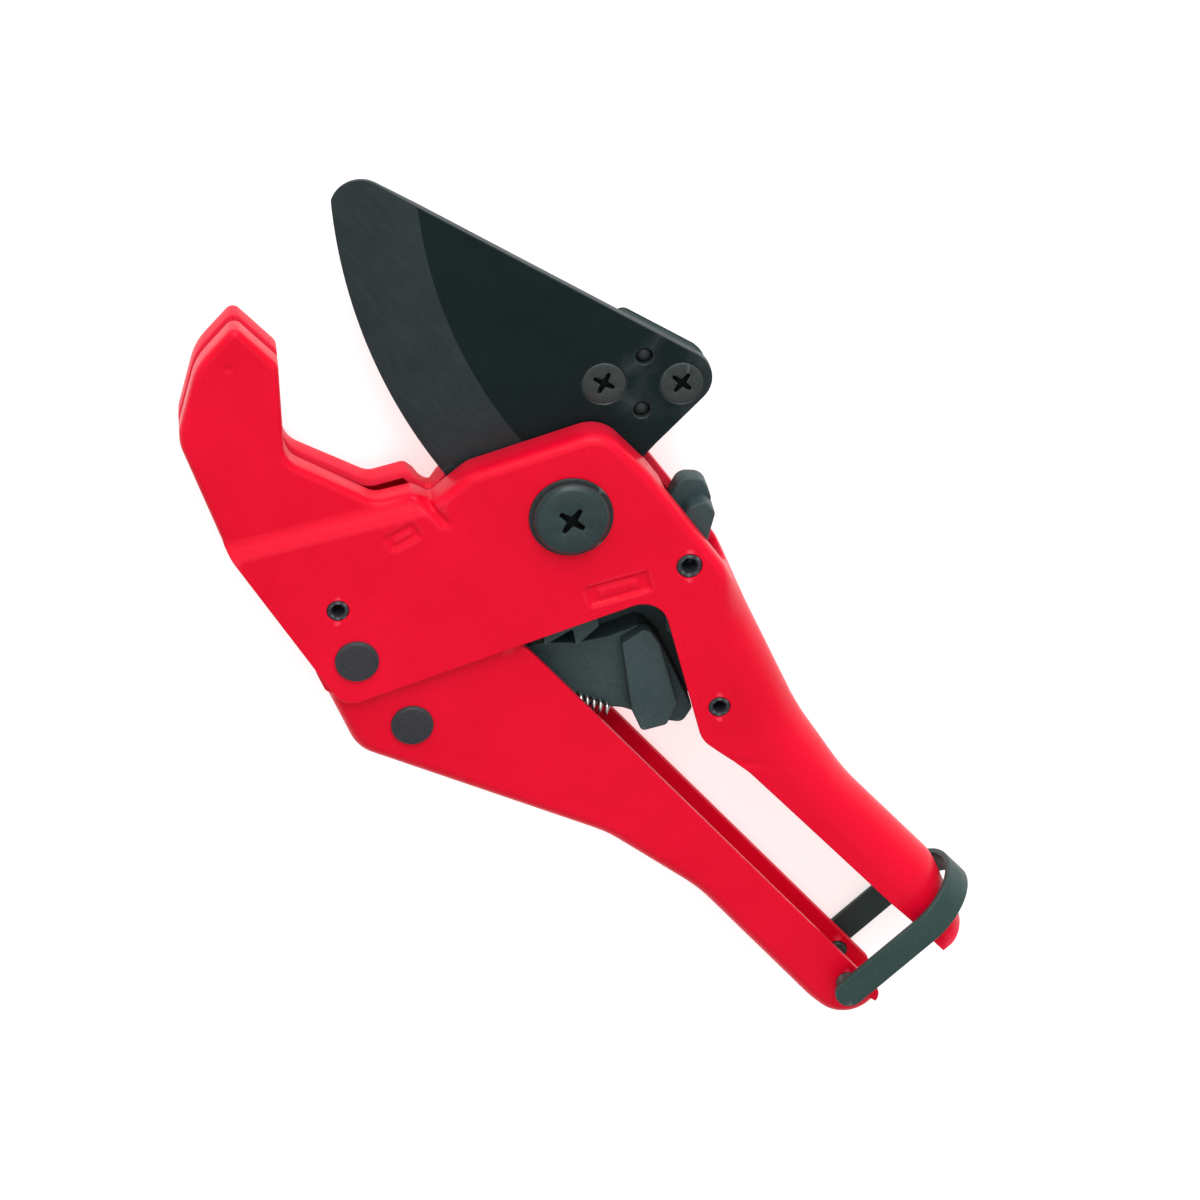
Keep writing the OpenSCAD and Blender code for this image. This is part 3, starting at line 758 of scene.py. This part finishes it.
def fixings(step, angle):
    """The two places of a pair of screws or dowels."""
    way = np.array([math.cos(math.radians(angle)), math.sin(math.radians(angle))])
    return [FIX_AT - step * way, FIX_AT + step * way]


BLADE_LINE = [
    [-94.3, 17.8, 6.5], [-76, 3.3, 0], [-60, -9, 0], [-24, -18.5, 1], [-15, -11, 2], [-13, 3, 5],
    [-5, 13.6, 4], [4.6, 15.6, 1.5], [3.1, 45.7, 6.5],
]


def blade():
    """Flat blade whose curved edge is ground on both sides in a wide bevel."""
    line = subdivided(rounded(BLADE_LINE, 0.9), 0.9)
    out = line - EDGE_AT
    far = np.linalg.norm(out, axis=1)
    line = inset(subdivided(EDGE_AT + out * np.minimum(1, EDGE_R / far)[:, None], 1.4), TRIM)

    def thick(p):
        r = np.linalg.norm(p - EDGE_AT, axis=1)
        return np.interp(r, [BEVEL_R, EDGE_R], [BLADE_Z, 0.1])

    angles = np.radians(np.arange(215, 293, 0.7))
    grind = EDGE_AT + BEVEL_R * np.stack([np.cos(angles), np.sin(angles)], 1)
    grind = grind[inside(grind, [inset(line, 0.5)])]
    dowels = [hole(p, 1.95, 32) for p in fixings(*DOWEL_FIX)]
    holes = [hole(p, 4.95, 48) for p in fixings(*SCREW_FIX)] + dowels
    bottoms = [hole(p, 2.6, 48) for p in fixings(*SCREW_FIX)] + dowels
    shape = Shape()
    h = thick(line)
    cut = np.minimum(0.22, h * 0.45)
    sides = [(cut, h), (cut * 0.3, h - cut * 0.3), (0 * cut, h - cut),
             (0 * cut, cut - h), (cut * 0.3, cut * 0.3 - h), (cut, -h)]
    rows = [at_height(inset(line, d), z) for d, z in sides]
    loft(shape, rows, 1)
    tops, lows = [rows[0][:, :2]], [rows[-1][:, :2]]
    for top, low in zip(holes, bottoms):
        steep = [at_height(inset(top, 0.15), BLADE_Z), at_height(top, BLADE_Z - 0.12),
                 at_height(low, 0.12 - BLADE_Z), at_height(inset(low, 0.15), -BLADE_Z)]
        loft(shape, steep, 2)
        tops.append(steep[0][:, :2])
        lows.append(steep[-1][:, :2])
    extra = lattice(-100, -20, 6, 50, 3)
    extra = extra[inside(extra, [line])]
    extra = clear_of(extra, tops + [grind], 1.2)

    def side_paint(p):
        return (np.linalg.norm(p - EDGE_AT, axis=1) > BEVEL_R).astype(int)

    cap(shape, tops, thick, extra, True, side_paint, [grind])
    cap(shape, lows, lambda p: -thick(p), extra, False, side_paint, [grind])
    make(shape, "cutting_blade", "blade_carrier", [BLADE_FLAT, BLADE_BEVEL, DARK],
         ["blade"], sharp=20)


SEAT_LINE = [[-22.2, 37.3, 1.5], [2.4, 44.4, 6.5], [5.2, 15, 3], [9.5, 2, 0], [-9.5, -3, 0], [-14, 12, 4]]
TOOTH_R = 34.5
ROOT_R = 30.5
SECTOR_TOP = -30
TOOTH_PITCH = 12


def carrier():
    """Hub, seat plate and toothed sector."""
    shape = Shape()
    pipe(shape, (0, 0), 11, 5.1, -7.6, 7.6, 0.5, 64)
    holes = [hole(p, 2.55, 32) for p in fixings(*SCREW_FIX)]
    holes += [hole(p, 1.95, 32) for p in fixings(*DOWEL_FIX)]
    slab(shape, [rounded(SEAT_LINE, 0.8)] + holes, SEAT_BACK, -BLADE_Z - 0.02, 0.5)
    teeth = [[0, 0, 0]]
    for i in range(4):
        for r, step in ((ROOT_R, 0), (TOOTH_R, TOOTH_PITCH - 2), (ROOT_R, TOOTH_PITCH - 1)):
            a = math.radians(SECTOR_TOP - i * TOOTH_PITCH - step)
            teeth.append([r * math.cos(a), r * math.sin(a), 0.25 if r == TOOTH_R else 0.2])
    slab(shape, [rounded(teeth[::-1], 0.6)], -SECTOR_Z, SECTOR_Z, 0.15, 2)
    make(shape, "carrier_body", "blade_carrier", [BLACK], ["blade_carrier"])


def blade_fasteners():
    """Countersunk screws and, sunk below the blade's face, domed dowels."""
    shape = Shape()
    face = BLADE_Z - 0.06
    cone = [(4.55, face - 0.05), (4.68, face - 0.2), (4.6, face - 0.32), (2.5, -BLADE_Z),
            (2.5, SEAT_BACK + 0.3), (2.2, SEAT_BACK), (0, SEAT_BACK)]
    for k, p in enumerate(fixings(*SCREW_FIX)):
        screw_head(shape, p, cone, 4.35, face, 2.55, 1.05, 1.3, 0.35 - 0.2 * k)
    make(shape, "blade_screw_pair", "blade_carrier", [SMALL_SCREW, DEEP], ["blade_screws"])
    shape = Shape()
    top = BLADE_Z - 0.5
    dome = [(0, top), (0.6, top - 0.1), (1.1, top - 0.33), (1.5, top - 0.65), (1.78, top - 1.05),
            (1.86, top - 1.4), (1.86, SEAT_BACK + 0.2), (1.6, SEAT_BACK), (0, SEAT_BACK)]
    for p in fixings(*DOWEL_FIX):
        lathe(shape, p, dome, 40)
    make(shape, "blade_dowel_pair", "blade_carrier", [DARK], ["blade_dowels"])


# ---------------------------------------------------------------- pivots and pins


WASHER_T = 0.6
HEAD_T = 2.1


def main_pivot():
    """Bolt with a large cross-slotted head, the washer under it and the nut on the back."""
    face = FRAME_Z + WASHER_T + HEAD_T
    shape = Shape()
    edge = [(7.35, face - 0.04), (7.55, face - 0.16), (8.2, face - 0.8), (8.37, face - 1.1),
            (8.37, face - HEAD_T + 0.25), (8.2, face - HEAD_T), (5, face - HEAD_T), (5, -FRAME_Z),
            (4.1, -FRAME_Z), (4.1, 0.5 - BASE_Z), (3.7, 0.1 - BASE_Z), (0, 0.1 - BASE_Z)]
    screw_head(shape, (0, 0), edge, 7.2, face, 3.25, 1.35, 1.7, 0.2)
    make(shape, "main_screw", "frame", [SCREW_BLACK, DEEP], ["pivot_bolt"])
    shape = Shape()
    pipe(shape, (0, 0), 9.25, 5.1, FRAME_Z, FRAME_Z + WASHER_T, 0.25, 72)
    make(shape, "main_washer", "frame", [DARK], ["pivot_washer"])
    shape = Shape()
    corners = [math.radians(a) for a in range(0, 360, 60)]
    nut = rounded([[8.4 * math.cos(a), 8.4 * math.sin(a), 0.35] for a in corners], 0.8)
    low = 0.02 - BASE_Z
    far = np.linalg.norm(nut, axis=1)
    drop = np.maximum(0, far - 7.3) * 0.5
    rows = [at_height(inset(nut, 0.5), -FRAME_Z), at_height(inset(nut, 0.15), -FRAME_Z - 0.1),
            at_height(nut, -FRAME_Z - 0.4), at_height(nut, low + 0.25 + drop),
            at_height(inset(nut, 0.2), low + 0.08 + drop * 0.7), at_height(nut * (6.9 / far)[:, None], low)]
    bore = nut * (4.2 / far)[:, None]
    rows += [at_height(bore * 1.08, low), at_height(bore, low + 0.3), at_height(bore, -FRAME_Z), rows[0]]
    loft(shape, rows)
    make(shape, "main_nut", "frame", [DARK], ["pivot_nut"])


def rivet_profile(r, shank, tops, z0, z1):
    """Rivet with flat round-edged heads, as deep as tops says, with their faces at z1 and z0."""

    def head(h):
        return [(0, h), (r * 0.5, h), (r - 0.75, h - 0.01), (r - 0.42, h - 0.06), (r - 0.14, h - 0.24),
                (r, h - 0.55)]

    upper = head(z1) + [(r, z1 - tops[0]), (shank, z1 - tops[0])]
    lower = [(x, -y) for x, y in head(-z0)][::-1]
    return upper + [(shank, z0 + tops[1]), (r, z0 + tops[1])] + lower


def rivets():
    shape = Shape()
    lathe(shape, RIVET_AT, rivet_profile(4.85, 3, (1.0, 2.6), -BASE_Z + 0.02, FRAME_Z + 1))
    make(shape, "handle_rivet", "frame", [RIVET_BLACK], ["handle_pivot_rivet"])
    shape = Shape()
    pipe(shape, RIVET_AT, 6.1, 3.02, -FRAME_Z - 0.6, -FRAME_Z, 0.2, 56)
    make(shape, "handle_washer", "frame", [DARK], ["handle_rivet_washer"])
    shape = Shape()
    lathe(shape, DRIVE_AT, rivet_profile(4.75, 3, (1.0, 1.0), -GRIP_Z - 1, GRIP_Z + 1))
    make(shape, "pawl_rivet", "lower_handle", [RIVET_BLACK], ["drive_pawl_rivet"])


def pins():
    """Roll pins, the sleeves on them, the hub's thrust washers and the spring's post."""
    for name, at, r, bore, node in (("jaw_roll_pin", JAW_PIN_AT, 2.4, 1.45, "jaw_pin"),
                                    ("pawl_roll_pin", HOLD_AT, 2.8, 1.75, "holding_pawl_pin"),
                                    ("stop_roll_pin", STOP_AT, 2.4, 1.45, "stop_pin")):
        shape = Shape()
        pipe(shape, at, r, bore, -FRAME_Z, FRAME_Z, 0.45, 40)
        make(shape, name, "frame", [RIVET_BLACK], [node])
    for name, at, r, bore, z, node in (("jaw_spacer", JAW_PIN_AT, 3.2, 2.42, 8.2, "jaw_sleeve"),
                                       ("stop_spacer", STOP_AT, 4.5, 2.42, 8.1, "stop_sleeve"),
                                       ("handle_spacer", RIVET_AT, 4.1, 3.02, 6, "handle_pivot_sleeve")):
        shape = Shape()
        pipe(shape, at, r, bore, -z, z, 0.3, 48)
        make(shape, name, "frame", [DARK], [node])
    shape = Shape()
    for z0, z1 in ((-8.2, -7.66), (7.66, 8.2)):
        pipe(shape, (0, 0), 10, 5.07, z0, z1, 0.15, 56)
    make(shape, "thrust_washers", "frame", [DARK], ["hub_washers"])
    shape = Shape()
    disc(shape, POST_AT, 1.18, -GRIP_Z, GRIP_Z, 0.3, 32)
    make(shape, "spring_anchor", "lower_handle", [DARK], ["spring_post"])


# ---------------------------------------------------------------- pawls

DRIVE_BODY = [
    [7, -57, 2], [21.8, -28, 2], [27.2, -22.8, 0], [31.3, -16.7, 0], [34.1, -10, 0.8], [36, -9.2, 1],
    [41, -9.4, 1.5], [58.4, -15.4, 1.5], [59.6, -19.6, 2], [55.5, -22.6, 2], [47, -26.5, 4], [41, -31.5, 5],
    [19.5, -62, 2],
]
DRIVE_LEAF = [
    [21.8, -28, 0.3], [21.5, -21, 3], [25.5, -7, 2], [31, -2.8, 2.5], [37.5, -2.2, 2], [49, -8.6, 3],
    [58.2, -14.8, 1], [55, -20, 0.5], [45, -22, 0.5], [30, -30, 0.5],
]
DRIVE_HEAD = [
    [33.4, -14.8, 0.6], [34.3, -9, 1], [36, -8.2, 1], [39.6, -8.8, 1], [53.6, -16.2, 1.2],
    [55.8, -21.5, 1.2], [53, -26.6, 1.2], [47.2, -24.5, 1],
]
HOLD_NOSE = [
    [35.2, -1, 0.3], [35.5, -3.4, 0.6], [39.5, -6.6, 2.5], [43.3, -1, 4], [38, 7.4, 6], [31, 13.4, 3],
    [27, 13.4, 0], [30, 6, 0], [33.2, 6.3, 1.5], [36.8, 2, 1.5],
]
HOLD_TAIL = [
    [31.4, 11.5, 1.5], [27.2, 17.3, 2], [24.4, 21.6, 1.6], [20.8, 21.9, 1.5], [19.2, 18.4, 2], [23.2, 8.5, 2],
]
HOLD_PAD = [[24.4, 21.8, 2], [18.6, 24.2, 3.2], [14.6, 20.6, 3], [16.6, 15.6, 1], [22, 14, 1]]


def counter_clockwise(line):
    loop = rounded(line, 0.6)
    x, y = loop.T
    area = (x * np.roll(y, -1) - np.roll(x, -1) * y).sum()
    return loop if area > 0 else loop[::-1]


def pawls():
    """Drive pawl: body, leaf and head. Holding pawl: nose, tail and thumb pad."""
    shape = Shape()
    slab(shape, [counter_clockwise(DRIVE_BODY)], PAWL_BACK, PAWL_STEP, 0.4)
    slab(shape, [counter_clockwise(DRIVE_LEAF)], -5.98, -5.3, 0.1, 2)
    slab(shape, [counter_clockwise(DRIVE_HEAD)], PAWL_STEP - 0.2, SECTOR_Z, 0.45)
    pipe(shape, DRIVE_AT, 6.45, 3.08, -6, 6, 0.4, 56)
    make(shape, "drive_pawl_body", "drive_pawl", [BLACK], ["drive_pawl"])
    shape = Shape()
    slab(shape, [counter_clockwise(HOLD_NOSE)], -SECTOR_Z, SECTOR_Z, 0.25, 3)
    slab(shape, [counter_clockwise(HOLD_TAIL)], -SECTOR_Z, SECTOR_Z, 0.5)
    slab(shape, [counter_clockwise(HOLD_PAD)], -SECTOR_Z, -0.05, 0.5)
    pipe(shape, HOLD_AT, 4.95, 2.88, -SECTOR_Z + 0.02, SECTOR_Z - 0.02, 0.3, 48)
    make(shape, "release_lever_body", "holding_pawl", [BLACK], ["holding_pawl"])


def springs():
    """Opening spring, holding pawl's spring and the drive pawl's extension spring."""
    r = 5.5
    path = np.concatenate([
        [[-6, -r, -4.2], [-3, -r, -4.1]], winding(r, -4, 2, 3.25, -90),
        [[r + 0.15, 1.5, 2.6], [r + 0.3, 3, 2.7], [r - 0.3, 5.6, 2.8], [r - 1, 8, 2.9]]])
    make(wire(path + [*RIVET_AT, 0], 0.68), "opening_spring", "frame", [BRIGHT],
         ["handle_spring"])
    r = 3.7
    z = SECTOR_Z + 0.7
    path = np.concatenate([
        [[r, -6, z], [r, -3, z]], winding(r, z, 0.8, 2.25), [[-2.5, r, z + 1.85], [-5, r, z + 1.9]]])
    make(wire(path + [*HOLD_AT, 0], 0.39), "pawl_spring", "frame", [BRIGHT],
         ["holding_pawl_spring"])
    reach = np.array([45, -28.0]) - POST_AT
    start = np.linalg.norm(reach) - 20
    coil = winding(1.3, start, 1.6, 12, 0, 20)
    stem = [[0, 0, 1.8], [0, 0, start * 0.5], [0, 0, start - 1.5], [0.65, 0, start - 0.6]]
    path = np.concatenate([stem, coil])
    along = unit(reach)
    turn = np.array([[0, 0, -1], [-along[1], along[0], 0], [along[0], along[1], 0]])
    make(wire(path @ turn + [*POST_AT, 3.3], 0.41), "return_spring", "lower_handle",
         [BRIGHT], ["drive_pawl_spring"])


# ---------------------------------------------------------------- bail


def bail():
    """Strip with round ends, bent into a half-round bow with straight legs."""
    half = BAIL_W / 2
    r = BAIL_Z - BAIL_T / 2
    leg = BAIL_BOW_Y - BAIL_AT[1]
    bow = math.pi * r
    total = 2 * leg + bow
    low = -half
    corner = half - 0.02
    strip = [(low, -half), (total - low, -half), (total - low, half), (low, half)]
    loop = subdivided(rounded([[u, side, corner] for u, side in strip], 0.7), 0.9)
    shape = Shape()
    across = clear_of(lattice(low + 0.8, 0.9 - half, total - low - 0.8, half - 0.8, 1.1), [loop], 1.2)
    slab(shape, [loop], -BAIL_T / 2, BAIL_T / 2, 0.4, 4, extra=across)

    def bend(p):
        u, side, rise = p.T
        angle = np.clip((u - leg) / r, 0, math.pi)
        out = r + rise
        past = np.where(u > leg + bow, leg + bow - u, out * np.sin(angle))
        y = BAIL_BOW_Y + np.where(u < leg, u - leg, past)
        z = out * np.cos(angle)
        return np.stack([BAIL_AT[0] - side, y, z], 1)

    shape.moved(bend)
    make(shape, "locking_bail", "lock_bail", [BAIL_BLACK], ["lock_bail"])
    shape = Shape()
    inner = BAIL_Z - BAIL_T
    profile = [(0, inner + 0.3), (2.5, inner + 0.3), (2.6, inner), (2.6, GRIP_Z + 0.35),
               (2.5, GRIP_Z + 0.25), (2.2, GRIP_Z + 0.25), (2.2, 5.75), (1.9, 5.5), (0, 5.5)]
    lathe(shape, BAIL_AT, profile, 40)
    shape.join(shape.flipped())
    make(shape, "bail_peg_pair", "lock_bail", [BAIL_BLACK], ["bail_pegs"])


frame_shell()
lower_shell()
blade()
carrier()
blade_fasteners()
main_pivot()
rivets()
pins()
pawls()
springs()
bail()


# ---------------------------------------------------------------- floor, light and camera


def floor():
    """Large pale square just under the tool."""
    mesh = bpy.data.meshes.new("floor")
    corners = [(x, y, -0.0004) for x, y in ((-3, -3), (3, -3), (3, 3), (-3, 3))]
    mesh.from_pydata(corners, [], [(0, 1, 2, 3)])
    p = Paint("pale_floor", 0.75, specular=0.1)
    p.shader.inputs["Emission Color"].default_value = (1, 1, 1, 1)
    p.shader.inputs["Emission Strength"].default_value = 0.6
    color = p.ramp(p.noise(9, 3), (0.3, (0.68, 0.68, 0.68)), (0.7, (0.71, 0.71, 0.71)))
    mesh.materials.append(p.finish(color, None, p.bump(p.noise(300, 2), 0.02, 0.0002)))
    obj = bpy.data.objects.new("floor", mesh)
    bpy.context.scene.collection.objects.link(obj)


def aimed(obj, toward):
    """Puts a light in the scene, turned to a point."""
    ahead = (Vector(toward) - obj.location).normalized()
    obj.rotation_euler = ahead.to_track_quat("-Z", "Y").to_euler()
    bpy.context.scene.collection.objects.link(obj)


def softbox(name, at, toward, size, power):
    light = bpy.data.lights.new(name, "AREA")
    light.shape = "RECTANGLE"
    light.size, light.size_y = size
    light.energy = power
    obj = bpy.data.objects.new(name, light)
    obj.location = at
    aimed(obj, toward)


def studio():
    floor()
    softbox("key", (-0.72, 0.75, 0.62), (0, 0, 0), (0.9, 0.7), 10)
    softbox("overhead", (-0.25, 0.2, 1.15), (0, 0, 0), (1.3, 1.3), 5)
    world = bpy.data.worlds.new("studio")
    world.use_nodes = True
    world.node_tree.nodes["Background"].inputs["Color"].default_value = (1, 1, 1, 1)
    world.node_tree.nodes["Background"].inputs["Strength"].default_value = 0.55
    bpy.context.scene.world = world
    bpy.context.scene.view_settings.view_transform = "Standard"


def camera():
    """The viewing angle: about 27 degrees off the tool's flat side, with the tool turned in the picture."""
    right = Vector((0.67333, 0.73134, 0.10851))
    up = Vector((-0.62325, 0.64040, -0.44882))
    back = Vector((-0.39773, 0.23457, 0.88701))
    lens = bpy.data.cameras.new("camera")
    lens.lens = 121.5
    lens.sensor_width = 36
    lens.clip_start = 0.05
    obj = bpy.data.objects.new("camera", lens)
    turn = Matrix((right, up, back)).transposed().to_4x4()
    place = (Vector((-333.9, 199.05, 798.3)) + Vector(PIVOT)) / 1000
    obj.matrix_world = Matrix.Translation(place) @ turn
    bpy.context.scene.collection.objects.link(obj)
    bpy.context.scene.camera = obj


studio()
camera()
